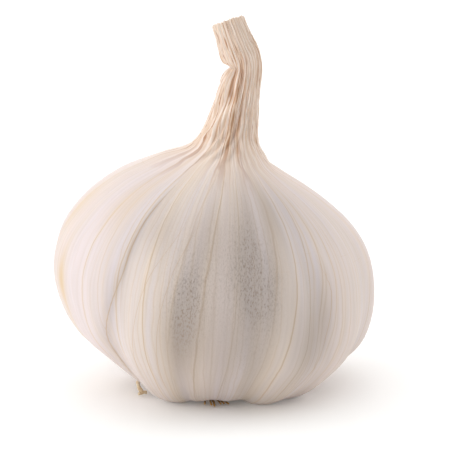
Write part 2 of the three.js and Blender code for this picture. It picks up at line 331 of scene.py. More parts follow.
@dataclass(frozen=True)
class Spots:
    """Points of the plain outline: their angles round the bulb, their radii and heights."""

    angle: Array
    radius: Array
    height: Array


@dataclass(frozen=True)
class Clove:
    """One clove under the skin, from its groove on to the next one.

    The groove's angle is at the shoulder, belly and foot, its depth at the belly and foot, and
    its edge says how steep the sides before and after it are. The clove swells out most at the
    height of its belly, and its foot stands off the surface.
    """

    groove: tuple[float, float, float]
    depth: Pair
    edge: Pair
    swell: float
    belly: float
    foot: float


@dataclass(frozen=True)
class Fold:
    """A fold that runs along the neck; a negative depth stands up as a ridge."""

    path: Keys
    depth: float
    width: float


@dataclass(frozen=True)
class Streaks:
    """Random ups and downs round the bulb that change slowly along it."""

    count: int
    length: float
    seed: int
    tallest: float = 80

    def at(self, angle: Array, height: Array) -> Array:
        """Read the streaks.

        Args:
            angle: Angles round the bulb.
            height: Heights along the axis.

        Returns:
            From -1 to 1 at each point.
        """
        draw = random_numbers(self.seed)
        rows = 2 + int(self.tallest / self.length)
        table = np.array([2 * next(draw) - 1 for _ in range(rows * self.count)]).reshape(rows, self.count)
        across = np.mod(angle * self.count / 360, self.count)
        along = np.clip(height / self.length, 0, rows - 1.01)
        column, row = np.floor(across).astype(int), np.floor(along).astype(int)
        after = (column + 1) % self.count
        t = ramp(across - column, 0, 1)
        low = table[row, column] * (1 - t) + table[row, after] * t
        high = table[row + 1, column] * (1 - t) + table[row + 1, after] * t
        return low + (high - low) * ramp(along - row, 0, 1)


StreakSets = tuple[tuple[Streaks, float], ...]


@dataclass(frozen=True)
class Lap:
    """Edge of one wrapper lying over the next: its path, and the step it makes in millimetres.

    A positive step stands up after the path, a negative one before it. The line is how wide the
    dry brown rim of the edge is, as a share of the widest.
    """

    path: Keys
    step: float
    line: float = 0.3
    width: float = 0.5
    reach: float = 7
    fade_in: float = 5
    fade_out: float = 6

    def gap(self, at: Spots) -> Array:
        """Signed distance round the bulb from the edge, in millimetres."""
        return turn(at.angle, keyed(at.height, self.path)) * np.radians(1) * np.maximum(at.radius, 1)

    def share(self, height: Array) -> Array:
        """How much of the edge there is at a height: it runs out at both ends of its path."""
        low, high = self.path[0][0], self.path[-1][0]
        return ramp(height, low, low + self.fade_in) * (1 - ramp(height, high - self.fade_out, high))

    def relief(self, at: Spots) -> Array:
        """How far the edge stands out.

        Args:
            at: Points of the plain outline.

        Returns:
            Millimetres outwards.
        """
        over = self.gap(at) * np.sign(self.step)
        stands = ramp(over, -self.width / 2, self.width / 2) * bell(np.maximum(over, 0), self.reach)
        return abs(self.step) * stands * self.share(at.height)


@dataclass
class BulbForm:
    """The skin of head and neck as a function of station along it and angle round it."""

    outline: Keys = (
        (0, 6.4), (4.5, 6.2), (8.0, 4.4), (10.8, 1.8),
        (14.2, 0.0), (19.0, 1.6), (24.0, 6.2),
        (28.6, 12.5), (30.4, 20.0), (29.3, 27.5),
        (25.3, 33.8), (19.5, 38.6), (13.2, 42.0), (7.9, 44.8),
        (5.5, 47.8), (5.1, 51.5), (4.6, 55.0), (4.35, 58.0),
        (4.2, 60.0), (4.2, 61.8), (4.2, 63.5), (4.0, 66.0), (3.75, 69.0),
        (3.6, 70.2), (2.6, 69.6), (0, 69.2),
    )
    lean: Keys = (
        (0, 0), (12, 4.8), (30, 5), (46, 8.5), (52, 11), (59.5, 11), (61.8, -4), (64, -23), (70, -19),
    )
    axis_start_x: float = -1.1
    axis_top: float = 76
    axis_step: float = 0.25
    sag: Keys = ((0, 2.9), (6, 2.3), (14, 0.5), (24, -0.9), (34, -1.2), (42, -1.5), (44.5, -1.5), (48, 0))
    cloves: tuple[Clove, ...] = (
        Clove((30, 30, 27), (0.9, 1.6), (1.5, 1.5), 0.5, 22, -0.4),
        Clove((66, 66, 64), (0.8, 1.8), (1.5, 2.2), 0.3, 20, 0.4),
        Clove((104, 101, 102), (0.9, 1.8), (2.6, 1.4), 0.6, 21, -0.4),
        Clove((140, 140, 138), (0.8, 2.0), (1.5, 1.5), 0.2, 24, -0.4),
        Clove((181, 181, 178), (0.8, 1.0), (1.5, 1.5), 0.6, 26, 3.7),
        Clove((241, 232, 225), (1.0, 1.2), (6.0, 1.3), 0.3, 14, -0.2),
        Clove((266, 260, 258), (0.5, 0.6), (1.5, 1.5), 0.3, 18, 1.0),
        Clove((279, 286, 291), (0.5, 0.9), (1.5, 1.5), 0.5, 15, -0.3),
        Clove((302, 314, 320), (0.9, 0.1), (1.3, 3.2), 0.5, 15, -0.3),
        Clove((342, 345, 340), (0.8, 1.2), (1.5, 1.5), 0.1, 20, 0.5),
    )
    groove_fade: Keys = ((0, 1), (20, 1), (32, 0.5), (40, 0.18), (45, 0))
    foot_zone: Pair = (4, 20)
    shoulder_zone: Pair = (12, 42)
    foot_edge: float = 1.5
    swell_height: float = 9
    foot_fade: Pair = (1.5, 11)
    hollow_edge: Pair = (6.5, 11)
    neck_width: Keys = ((46, 1.0), (52, 0.88), (57, 0.86), (61.8, 0.82), (66, 0.82), (71, 0.82))
    neck_thickness: Keys = ((46, 1.0), (52, 0.9), (60, 0.84), (71, 0.72))
    neck_base: Pair = (44, 49)
    pinch_height: float = 61.1
    pinch_depth: float = 2.0
    pinch_reach: float = 1.15
    pinch_angle: float = 190
    pinch_spread: float = 60
    folds: tuple[Fold, ...] = (
        Fold(((49, 281), (53, 287), (58, 276), (61, 272)), 0.75, 7),
        Fold(((54, 262), (57, 250), (61, 238)), 0.45, 9),
        Fold(((57, 324), (60, 326), (63, 328)), 0.3, 7),
        Fold(((47, 318), (50, 316), (54, 312)), 0.4, 9),
        Fold(((47, 218), (50, 236), (53, 254), (57, 277)), -0.7, 12),
        Fold(((50, 205), (53, 222), (56, 240)), 0.5, 14),
        Fold(((61.5, 186), (63.5, 186), (66, 188)), -0.5, 50),
        Fold(((46, 20), (54, 34), (62, 28)), 0.7, 11),
        Fold(((48, 92), (55, 80), (64, 96)), 0.6, 11),
        Fold(((46, 150), (53, 138), (60, 152)), 0.6, 11),
    )
    fold_fade: float = 2
    deepest_fold: float = 0.6
    fibres: tuple[tuple[int, float], ...] = ((11, 0), (14, 2), (18, 4))
    fibre_depths: Keys = ((44, 0), (49, 0.1), (60, 0.08), (64, 0.015), (71, 0.015))
    gather_count: int = 22
    gather_depth: float = 0.34
    gather_slant: float = 5
    gather_angle: float = 262
    gather_spread: float = 34
    gather_elsewhere: float = 0.15
    gather_heights: Keys = ((42.5, 0), (45.5, 1), (48, 0.8), (51.5, 0))
    cut_slant: float = 0.65
    cut_from: Pair = (66, 69.5)
    cut_radius: float = 3.6
    cut_spans: float = 2.4
    rim_width: float = 0.3
    uneven_waves: int = 7
    uneven_depth: float = 0.1
    uneven_slowest: float = 0.05
    uneven_spread: float = 0.12
    uneven_seed: int = 11

    # Fine relief that only this mesh is close enough to carry
    neck_streaks: StreakSets = ((Streaks(124, 5, 21), 0.16), (Streaks(190, 4, 22), 0.12))
    sway: float = 2.2
    sway_length: float = 4.4
    sway_turns: int = 3
    gather_streaks: StreakSets = ((Streaks(60, 7, 31), 0.14), (Streaks(120, 5, 32), 0.08))
    belly_streaks: StreakSets = (
        (Streaks(40, 26, 41), 0.10), (Streaks(96, 34, 42), 0.055), (Streaks(210, 22, 43), 0.02),
    )
    belly_end: Pair = (38, 45)
    laps: tuple[Lap, ...] = (
        Lap(((2, 225), (8, 225), (20, 232), (27, 235.5), (34, 236), (42, 238)), -0.3, 0.6, 0.5),
        Lap(((1, 309), (8, 312), (15, 315), (24, 315.5), (32, 311)), 0.24, 0.35),
        Lap(((4, 238), (15, 241.4), (26, 246), (38, 255)), -0.08, 0.3, 0.4, 4),
        Lap(((3, 249), (15, 250.5), (27, 254), (38, 260)), -0.08, 0.3, 0.4, 4),
        Lap(((5, 306), (15, 307), (28, 304)), -0.07, 0.3, 0.4, 4),
        Lap(((4, 60), (16, 63), (30, 66), (42, 70)), 0.2, 0.7),
        Lap(((4, 118), (16, 120), (30, 117), (40, 112)), -0.12, 0.5),
        Lap(((4, 160), (18, 157), (30, 160), (40, 168)), 0.12, 0.5),
        Lap(((45, 285), (52, 283), (57, 282), (65, 283)), -0.06, 0.6, 0.25, 1.2),
        Lap(((47, 262), (55, 260), (63, 262)), -0.07, 0.7, 0.3, 1.2),
        Lap(((54, 269), (60, 273), (69, 276)), -0.05, 0.5, 0.25, 1.2),
        Lap(((56, 331), (64, 333), (71, 333)), -0.05, 0.5, 0.25, 1.2),
        Lap(((46, 30), (56, 34), (68, 32)), -0.06, 0.6, 0.25, 1.2),
        Lap(((46, 104), (56, 100), (68, 103)), -0.06, 0.6, 0.25, 1.2),
        Lap(((46, 172), (55, 168), (62, 170)), -0.05, 0.5, 0.25, 1.2),
    )
    least_line: float = 0.01
    widest_gap: float = 9
    # The cut end: a ragged rim, and the dry sheaths inside it one over another
    ragged: Streaks = Streaks(44, 40, 51)
    ragged_height: float = 0.08
    ragged_from: Pair = (68, 70)
    sheath_pitch: float = 0.75
    sheath_depth: float = 0.22
    # How much the fine relief adds to the creases' depth, and the depth where their painted shade is
    # darkest
    fine_crease: float = 1.6
    deep_crease: float = 0.8

    def outline_at(self, station: Array) -> tuple[Array, Array]:
        """Run a Catmull-Rom curve through the outline.

        Args:
            station: Place along the outline, from 0 to 1.

        Returns:
            Points of radius and height, and the unit direction of the curve there.
        """
        points = np.array(self.outline, float)
        last = len(points) - 1
        place = last * station
        i = np.clip(np.floor(place).astype(int), 0, last - 1)
        t = (place - i)[..., None]
        p0, p1 = points[np.maximum(i - 1, 0)], points[i]
        p2, p3 = points[i + 1], points[np.minimum(i + 2, last)]
        v0, v1 = (p2 - p0) / 2, (p3 - p1) / 2
        a, b = 2 * p1 - 2 * p2 + v0 + v1, -3 * p1 + 3 * p2 - 2 * v0 - v1
        along = 3 * a * t**2 + 2 * b * t + v0
        return a * t**3 + b * t**2 + v0 * t + p1, along / np.linalg.norm(along, axis=-1, keepdims=True)

    def axis_at(self, height: Array) -> tuple[Array, Array, Array]:
        """Follow the bent axis of the bulb.

        Args:
            height: Height along the axis.

        Returns:
            The axis's x and z there, and its lean in radians.
        """
        heights = np.arange(0, self.axis_top + self.axis_step / 2, self.axis_step)
        lean = np.radians(keyed(heights - self.axis_step / 2, self.lean))
        x = self.axis_start_x + np.concatenate([[0], np.cumsum(self.axis_step * np.sin(lean[1:]))])
        z = np.concatenate([[0], np.cumsum(self.axis_step * np.cos(lean[1:]))])
        lean = np.interp(height, heights, np.radians(keyed(heights, self.lean)))
        return np.interp(height, heights, x), np.interp(height, heights, z) + np.minimum(height, 0), lean

    def clove_at(self, at: Spots) -> tuple[Array, Array]:
        """Find the clove at each point; the grooves between them drift as they climb.

        Args:
            at: Points of the plain outline.

        Returns:
            The clove's number, and the place across it from -1 to 1.
        """
        low, high = ramp(at.height, *self.foot_zone), ramp(at.height, *self.shoulder_zone)
        starts = [
            c.groove[2] + (c.groove[1] - c.groove[2]) * low + (c.groove[0] - c.groove[1]) * high
            for c in self.cloves
        ]
        number = np.zeros(at.angle.shape, int)
        across = np.zeros(at.angle.shape)
        for i, start in enumerate(starts):
            width = np.mod(starts[(i + 1) % len(starts)] - start, 360)
            along = np.mod(at.angle - start, 360)
            inside = along < width
            number[inside] = i
            across[inside] = (2 * along / width - 1)[inside]
        return number, across

    def of_cloves(self, size: str, number: Array) -> Array:
        """Read one size of the cloves for each clove number."""
        return np.array([getattr(clove, size) for clove in self.cloves], float)[number]

    def towards_foot(self, pairs: list[Pair], number: Array, height: Array) -> Array:
        """Blend each clove's pair of belly and foot values.

        Args:
            pairs: A belly and a foot value for each clove.
            number: Which clove each point is on; one past the last is the first again.
            height: Heights of the points.

        Returns:
            The value at each point.
        """
        belly, foot = np.moveaxis(np.array(pairs, float)[number % len(pairs)], -1, 0)
        return foot + (belly - foot) * ramp(height, *self.foot_zone)

    def valley(self, at: Spots) -> Array:
        """Share of the way down into a groove between cloves.

        Args:
            at: Points of the plain outline.

        Returns:
            From 0 on the back of a clove to 1 in the groove.
        """
        number, across = self.clove_at(at)
        before, after = ([(c.edge[side], self.foot_edge) for c in self.cloves] for side in (0, 1))
        before = self.towards_foot(before, number + 1, at.height)
        after = self.towards_foot(after, number, at.height)
        edge = np.where(across < 0, after, before)
        return (1 - np.cos(np.pi * np.abs(across) ** edge)) / 2

    def clove_relief(self, at: Spots) -> Array:
        """How far the cloves push the skin out from the plain outline.

        Args:
            at: Points of the plain outline.

        Returns:
            Millimetres outwards.
        """
        number, across = self.clove_at(at)
        nearest = np.where(across < 0, number, number + 1)
        depth = self.towards_foot([c.depth for c in self.cloves], nearest, at.height)
        depth = depth * keyed(at.height, self.groove_fade)
        swell = self.of_cloves("swell", number) * np.cos(np.pi * across / 2) ** 2
        swell = swell * bell(at.height - self.of_cloves("belly", number), self.swell_height)
        return ramp(at.radius, *self.hollow_edge) * (swell - depth * self.valley(at))

    def foot_lift(self, at: Spots) -> Array:
        """How high the foot of each clove stands off the surface.

        Args:
            at: Points of the plain outline.

        Returns:
            Millimetres upwards.
        """
        number, across = self.clove_at(at)
        foot = self.of_cloves("foot", number) * np.cos(np.pi * across / 2) ** 2
        return foot * ramp(at.radius, *self.hollow_edge) * (1 - ramp(at.height, *self.foot_fade))

    def uneven(self, at: Spots) -> Array:
        """Gentle bumps of the whole head.

        Args:
            at: Points of the plain outline.

        Returns:
            Millimetres outwards.
        """
        draw = random_numbers(self.uneven_seed)
        total = np.zeros(at.angle.shape)
        for i in range(self.uneven_waves):
            up = self.uneven_slowest + self.uneven_spread * next(draw)
            phase = 2 * math.pi * next(draw)
            total += np.cos((1 + i) * np.radians(at.angle) + up * at.height + phase)
        return total * self.uneven_depth * ramp(at.radius, *self.hollow_edge)

    def folds_at(self, at: Spots) -> Array:
        """Depth of the folds that run along the neck.

        Args:
            at: Points of the plain outline.

        Returns:
            Millimetres inwards.
        """
        depth = np.zeros(at.angle.shape)
        for fold in self.folds:
            low, high = fold.path[0][0], fold.path[-1][0]
            ends = ramp(at.height, low - self.fold_fade, low + self.fold_fade)
            ends = ends - ramp(at.height, high - self.fold_fade, high + self.fold_fade)
            depth += fold.depth * ends * bell(turn(at.angle, keyed(at.height, fold.path)), fold.width)
        return depth

    def pinch(self, at: Spots) -> Array:
        """Depth of the pinch where the neck folds over, in millimetres."""
        depth = self.pinch_depth * np.exp(-np.abs(at.height - self.pinch_height) / self.pinch_reach)
        return depth * bell(turn(at.angle, self.pinch_angle), self.pinch_spread)

    def neck_relief(self, at: Spots) -> Array:
        """Folds, fibres, gathers and the pinch of the neck.

        Args:
            at: Points of the plain outline.

        Returns:
            Millimetres inwards.
        """
        depth = self.pinch(at) + self.folds_at(at)
        for count, phase in self.fibres:
            depth += keyed(at.height, self.fibre_depths) * wave(count * (at.angle + at.height), phase)
        gathered = bell(turn(at.angle, self.gather_angle), self.gather_spread)
        gathered = self.gather_elsewhere + (1 - self.gather_elsewhere) * gathered
        slanted = wave(self.gather_count * (at.angle - self.gather_slant * at.height))
        return depth + self.gather_depth * gathered * keyed(at.height, self.gather_heights) * slanted

    def fine_relief(self, at: Spots) -> Array:
        """Fibres and small gathers of the neck, flutes of the belly, and laps of the wrappers.

        Args:
            at: Points of the plain outline.

        Returns:
            Millimetres outwards.
        """
        angle, height = at.angle, at.height
        belly = (1 - ramp(height, *self.belly_end)) * ramp(at.radius, *self.hollow_edge)
        swing = 2 * np.pi * height / self.sway_length + np.radians(self.sway_turns * angle)
        kinds = (
            (ramp(height, *self.neck_base), angle + self.sway * np.sin(swing), self.neck_streaks),
            (belly, angle, self.belly_streaks),
            (keyed(height, self.gather_heights), angle - self.gather_slant * height, self.gather_streaks),
        )
        out = sum(
            sum(share * depth * streaks.at(turned, height) for streaks, depth in sets)
            for share, turned, sets in kinds
        )
        return out + (at.radius > self.hollow_edge[1]) * sum(lap.relief(at) for lap in self.laps)

    def lap_gap(self, at: Spots) -> Array:
        """Find the nearest lap edge.

        Args:
            at: Points of the plain outline.

        Returns:
            Signed distance from it, counted in its own line, more where the edge runs out.
        """
        gaps = np.array([
            lap.gap(at) / (lap.line * lap.share(at.height) + self.least_line) for lap in self.laps
        ])
        nearest = np.argmin(np.abs(gaps), axis=0)[None]
        return np.clip(np.take_along_axis(gaps, nearest, axis=0)[0], -self.widest_gap, self.widest_gap)

    def end_relief(self, at: Spots, ends: Array) -> Array:
        """Ragged rim and the concentric dry sheaths of the cut.

        Args:
            at: Points of the plain outline.
            ends: Where the skin belongs to the cut face, from 0 to 1.

        Returns:
            Millimetres downwards.
        """
        ragged = self.ragged_height * self.ragged.at(at.angle, at.height)
        ragged = ragged * ramp(at.height, *self.ragged_from)
        rings = (1 - np.cos(2 * np.pi * at.radius / self.sheath_pitch)) / 2
        return ragged * ramp(at.radius, 0, self.cut_radius) + self.sheath_depth * rings * ends

    def slant_of_cut(self, at: Spots) -> Array:
        """How far the slanting cut raises the end of the neck, in millimetres."""
        share = np.minimum(at.radius / self.cut_radius, 1) * ramp(at.height, *self.cut_from)
        return -self.cut_slant * np.sin(np.radians(at.angle)) * share

    def cut_face(self, station: Array, radius: Array) -> Array:
        """Share of a point that belongs to the cut face of the neck.

        Args:
            station: Places along the outline from 0 to 1.
            radius: Radii of the plain outline there.

        Returns:
            From 0 on the sides to 1 on the face.
        """
        rim = self.outline[-3][0]
        beyond = station > 1 - self.cut_spans / (len(self.outline) - 1)
        return beyond * ramp(radius, rim, rim - self.rim_width)

    def skin(self, station: Array, angle: Array) -> Array:
        """Points of the skin.

        Args:
            station: Places along the outline from 0 to 1.
            angle: Angles round the bulb.

        Returns:
            Points in millimetres, with the frame's origin.
        """
        place, along = self.outline_at(station)
        at = Spots(angle, place[..., 0], place[..., 1])
        radius, height = at.radius, at.height
        out = self.clove_relief(at) + self.uneven(at)
        out = out + self.fine_relief(at)
        inwards = np.minimum(self.neck_relief(at), radius * self.deepest_fold)
        sag = keyed(height, self.sag) * wave(angle) * ramp(radius, *self.hollow_edge)
        wide = np.maximum(radius + along[..., 1] * out + sag - inwards, 0)
        tall = height - along[..., 0] * out + self.slant_of_cut(at)
        tall = tall - self.end_relief(at, self.cut_face(station, radius))
        centre_x, centre_z, lean = self.axis_at(tall)
        x = wide * wave(angle) * keyed(tall, self.neck_width)
        y = wide * np.sin(np.radians(angle)) * keyed(tall, self.neck_thickness)
        z = centre_z - x * np.sin(lean) + self.foot_lift(at)
        x = centre_x + x * np.cos(lean)
        return np.stack([x - BOX_CENTRE[0], y - BOX_CENTRE[1], np.maximum(z, 0)], axis=-1)

    def crease(self, at: Spots) -> Array:
        """Share of how deep a point of the neck lies in its creases.

        Args:
            at: Points of the plain outline.

        Returns:
            From 0 on the ridges to 1 in the deepest creases.
        """
        fine = -self.fine_relief(Spots(at.angle, np.zeros(at.angle.shape), at.height))
        depth = np.maximum(self.neck_relief(at) - self.pinch(at), 0) + self.fine_crease * fine
        return np.clip(depth / self.deep_crease, 0, 1) * ramp(at.height, *self.neck_base)


@dataclass(frozen=True)
class SkinPatch:
    """A patch of stain, yellowing or painted shade: its place, its spread across and along it, and how
    strong it is.
    """

    angle: float
    height: float
    across: float
    along: float
    strength: float


@dataclass
class Bulb:
    """The head and neck in their dry wrapper, one skin that grew as one body."""

    form: BulbForm = field(default_factory=BulbForm)
    sides: int = 760
    rings: int = 104
    cut_rings: int = 26
    cut_ring_spans: int = 2
    belly_radius: float = 30
    length_steps: int = 2000
    neck_tint: Pair = (39, 49)
    sole_tint: Pair = (8, 14)
    sole_height: float = 12
    stains: tuple[SkinPatch, ...] = (
        SkinPatch(260, 21, 2.5, 7.5, 1.0), SkinPatch(281, 31, 4.0, 6.0, 0.72), SkinPatch(284, 25, 2.6, 5.0, 0.85),
        SkinPatch(288, 23, 2.0, 7.0, 0.5), SkinPatch(284, 12, 3.0, 5.0, 0.25), SkinPatch(271, 26, 9.0, 11.0, 0.28),
        SkinPatch(96, 20, 5.0, 9.0, 0.7), SkinPatch(27, 16, 3.6, 8.0, 0.45), SkinPatch(150, 14, 4.0, 7.0, 0.5),
    )
    # Painted shade, brownish grey, mostly over the front of the head and low on its back
    painted_shade: tuple[SkinPatch, ...] = (
        SkinPatch(259, 15, 3.2, 8.0, 0.5), SkinPatch(273, 14, 9.0, 14.0, 0.55), SkinPatch(287, 20, 3.0, 16.0, 0.35),
        SkinPatch(303, 16, 3.0, 11.0, 0.4), SkinPatch(298, 39, 11.0, 6.0, 0.42), SkinPatch(310, 17, 3.6, 9.0, 0.45),
        SkinPatch(268, 34, 12.0, 6.0, 0.3), SkinPatch(243, 34, 3.5, 4.0, 0.3), SkinPatch(85, 13, 8.0, 12.0, 0.5),
        SkinPatch(20, 13, 5.0, 12.0, 0.4), SkinPatch(140, 12, 6.0, 10.0, 0.45),
    )
    yellowed: tuple[SkinPatch, ...] = (
        SkinPatch(207, 21, 1.3, 4.5, 1.0), SkinPatch(259, 15, 3.0, 8.0, 0.35), SkinPatch(193, 33, 4.0, 5.0, 0.4),
        SkinPatch(222, 37, 3.0, 5.0, 0.4), SkinPatch(120, 28, 5.0, 8.0, 0.6), SkinPatch(40, 30, 4.0, 8.0, 0.4),
    )
    columns: Streaks = Streaks(74, 30, 61)
    column_share: float = 0.35

    def grid(self) -> tuple[Array, Array]:
        """Lay out the skin's points, closest together at the cut.

        Returns:
            Stations and angles of the first end, every ring in turn, and the last end.
        """
        cut = 1 - self.cut_ring_spans / (len(self.form.outline) - 1)
        stations = np.concatenate([
            np.linspace(0, cut, self.rings, endpoint=False)[1:],
            np.linspace(cut, 1, self.cut_rings, endpoint=False),
        ])
        angles = np.arange(self.sides) * 360 / self.sides
        station, angle = np.meshgrid(stations, angles, indexing="ij")
        return np.concatenate([[0], station.ravel(), [1]]), np.concatenate([[0], angle.ravel(), [0]])

    def way(self, station: Array, angle: Array) -> Array:
        """Unrolled place on the skin: round the belly and along the outline.

        Args:
            station: Places along the outline from 0 to 1.
            angle: Angles round the bulb.

        Returns:
            Millimetres round the belly as a circle in x and y, and along the outline in z.
        """
        fine = np.linspace(0, 1, self.length_steps)
        place = self.form.outline_at(fine)[0]
        steps = np.linalg.norm(np.diff(place, axis=0), axis=-1)
        length = np.interp(station, fine, np.concatenate([[0], np.cumsum(steps)]))
        x, y = self.belly_radius * wave(angle), self.belly_radius * np.sin(np.radians(angle))
        return np.stack([x, y, length], axis=-1)

    def marked(self, stains: tuple[SkinPatch, ...], at: Spots) -> Array:
        """How marked the skin is, in columns as the veins bound it.

        Args:
            stains: The patches.
            at: Points of the plain outline.

        Returns:
            The share at each point, from 0 to 1.
        """
        share = np.zeros(at.angle.shape)
        for stain in stains:
            across = np.radians(turn(at.angle, stain.angle)) * self.belly_radius
            patch = stain.strength * bell(across, stain.across)
            share += patch * bell(at.height - stain.height, stain.along)
        return np.clip(share * (1 + self.column_share * self.columns.at(at.angle, at.height)), 0, 1)

    def build(self) -> Object:
        """Make the skin and store what its finish reads.

        Returns:
            The skin.
        """
        form = self.form
        station, angle = self.grid()
        points = form.skin(station, angle) * MM
        faces = tube_faces((len(points) - 2) // self.sides, self.sides)
        piece = add_piece("bulb_skin", points.tolist(), faces)
        at = Spots(angle, *np.moveaxis(form.outline_at(station)[0], -1, 0))
        grooves = keyed(at.height, form.groove_fade) * ramp(at.radius, *form.hollow_edge)
        marks = {
            Mark.WAY: self.way(station, angle),
            Mark.NECK: ramp(at.height, *self.neck_tint),
            # The finish paints shade into the grooves from this share
            Mark.VALLEY: form.valley(at) * grooves,
            # Crease depth, which the finish turns into straw brown and painted shade
            Mark.FOLD: form.crease(at),
            Mark.LAP: form.lap_gap(at),
            Mark.STAIN: self.marked(self.stains, at),
            # Patches of painted shade
            Mark.PAINTED_SHADE: self.marked(self.painted_shade, at),
            Mark.YELLOWED: self.marked(self.yellowed, at),
            Mark.SOLE: (1 - ramp(at.radius, *self.sole_tint)) * (at.height < self.sole_height),
            Mark.CUT: form.cut_face(station, at.radius),
        }
        for mark, values in marks.items():
            paint(piece, mark, values)
        return piece

    def dress(self, piece: Object, wrapper: "DryWrapper") -> None:
        """Give the skin its finish and its place in the frame.

        Args:
            piece: The skin.
            wrapper: Its finish.
        """
        piece.data.materials.append(wrapper.material())
        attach(piece, "root")
        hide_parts("bulb")


# ---------------------------------------------------------- plate and roots


@dataclass(frozen=True)
class Strand:
    """One root: the points that it runs through, its radius, and whether it is a pale one."""

    path: list[Vector]
    radius: float
    pale: bool = False


@dataclass(frozen=True)
class Spread:
    """Roots that spread outwards under the cloves, over a range of angles."""

    start: float
    end: float
    count: int
    reach: float
    radius: float


@dataclass
class RootPlate:
    """The corky basal plate in the hollow under the head, with its dry roots."""

    centre_x: float = -1.1
    radius: float = 7.2
    bottom: float = 3.4
    outline: Keys = ((0, 3.4), (5.8, 3.4), (7.2, 4.0), (6.7, 4.6), (4.0, 5.5), (0, 5.6))
    seed: int = 5
    sides: int = 96
    steps: int = 6
    cork_depth: float = 0.16
    cork_grain: float = 1.1
    cork_fractal: tuple[float, float, int] = (1.0, 2.0, 3)
    root_radius: float = 0.42
    root_taper: float = 0.25
    sunk: float = 0.6
    floor: float = 0.25
    wander: float = 6
    short_rings: tuple[tuple[float, int], ...] = ((1.6, 5), (3.8, 11), (5.9, 17))
    drop: Pair = (1.3, 2.6)
    splay: Pair = (0.5, 1.3)
    spreads: tuple[Spread, ...] = (
        Spread(266.5, 281.5, 7, 17.4, 0.25),
        Spread(300, 352, 5, 9.2, 0.42),
        Spread(20, 250, 17, 8.4, 0.42),
    )
    spread_inset: float = 0.9
    # The sure part and the random part of a root's place in its gap, and of its reach
    spread_gaps: Pair = (0.25, 0.5)
    spread_reach: Pair = (0.92, 0.08)
    spread_bend: float = 2.4
    long_radius: float = 0.46
    long_root: tuple[Point, ...] = (
        (-6.4, -2.4, 3.7), (-9.6, -4.0, 2.5), (-12.1, -5.1, 2.1),
        (-13.8, -6.4, 2.6), (-14.3, -7.9, 2.4), (-13.9, -8.8, 1.4), (-13.5, -9.1, 0.75),
    )
    long_tips: tuple[Point, ...] = ((-12.6, -8.8, 0.65), (-14.0, -9.9, 0.65))
    root_sides: int = 9
    root_rings: int = 30
    lowest: float = 0.12

    # Dry roots crinkle, vary in thickness and are ridged; each kind of noise has its scale to a
    # millimetre and how far it moves from root to root, so that no two are alike. The crinkle
    # grows in over the first quarter of a root, and the thickness has a sure and a noisy part.
    crinkle: float = 0.12
    crinkle_scale: float = 1.3
    crinkle_shift: float = 7.3
    crinkle_start: float = 4
    thickness: Pair = (0.9, 0.22)
    thickness_scale: float = 2.1
    thickness_shift: float = 3.1
    ridges: int = 3
    ridge: float = 0.13

    def from_plate(self, angle: float, distance: float, height: float) -> Vector:
        """Point at an angle and distance from the plate's centre."""
        turned = math.radians(angle)
        return Vector((self.centre_x + distance * math.cos(turned), distance * math.sin(turned), height))

    def short_roots(self, draw: Iterator[float]) -> list[Strand]:
        """Lay out the roots trimmed short under the plate.

        Args:
            draw: Random numbers.

        Returns:
            The roots.
        """
        roots = []
        for ring, count in self.short_rings:
            for i in range(count):
                angle = 360 * (i + next(draw)) / count
                drop = self.drop[0] + (self.drop[1] - self.drop[0]) * next(draw)
                splay = self.splay[0] + (self.splay[1] - self.splay[0]) * next(draw)
                wander = self.wander * next(draw)
                path = [
                    self.from_plate(angle, ring, self.bottom + self.sunk),
                    self.from_plate(angle + wander, ring + splay / 2, self.bottom - drop / 2),
                    self.from_plate(angle + 2 * wander, ring + splay, self.bottom - drop),
                ]
                roots.append(Strand(path, self.root_radius))
        return roots

    def spreading_roots(self, draw: Iterator[float]) -> list[Strand]:
        """Lay out the roots that spread outwards under the cloves.

        Args:
            draw: Random numbers.

        Returns:
            The roots.
        """
        roots = []
        start = self.radius - self.spread_inset
        for spread in self.spreads:
            low = self.floor + spread.radius
            for i in range(spread.count):
                share = (i + self.spread_gaps[0] + self.spread_gaps[1] * next(draw)) / spread.count
                angle = spread.start + (spread.end - spread.start) * share
                end = spread.reach * (self.spread_reach[0] + self.spread_reach[1] * next(draw))
                bend = min(start + self.spread_bend, (start + end) / 2)
                path = [
                    self.from_plate(angle, start, self.bottom + self.sunk),
                    self.from_plate(angle, (start + bend) / 2, (self.bottom + low) / 2),
                    self.from_plate(angle, bend, low),
                    self.from_plate(angle + self.wander * next(draw) / 2, end, low),
                ]
                roots.append(Strand(path, spread.radius))
        return roots

    def disc(self) -> tuple[list[Vector], list[Face]]:
        """The corky disc, lumpy all over.

        Returns:
            Its points in millimetres and its faces.
        """
        profile = [
            (r0 + (r1 - r0) * i / self.steps, z0 + (z1 - z0) * i / self.steps)
            for (r0, z0), (r1, z1) in zip(self.outline, self.outline[1:])
            for i in range(self.steps)
        ]
        points = [Vector((self.centre_x, 0, self.bottom))]
        for radius, height in profile[1:]:
            for side in range(self.sides):
                angle = 2 * math.pi * side / self.sides
                out = Vector((math.cos(angle), math.sin(angle), 0))
                point = out * radius + Vector((self.centre_x, 0, height))
                lump = noise.fractal(point * self.cork_grain, *self.cork_fractal) * self.cork_depth
                points.append(point + out * lump - Vector((0, 0, lump)))
        points.append(Vector((self.centre_x, 0, self.outline[-1][1])))
        return points, tube_faces(len(profile) - 1, self.sides)

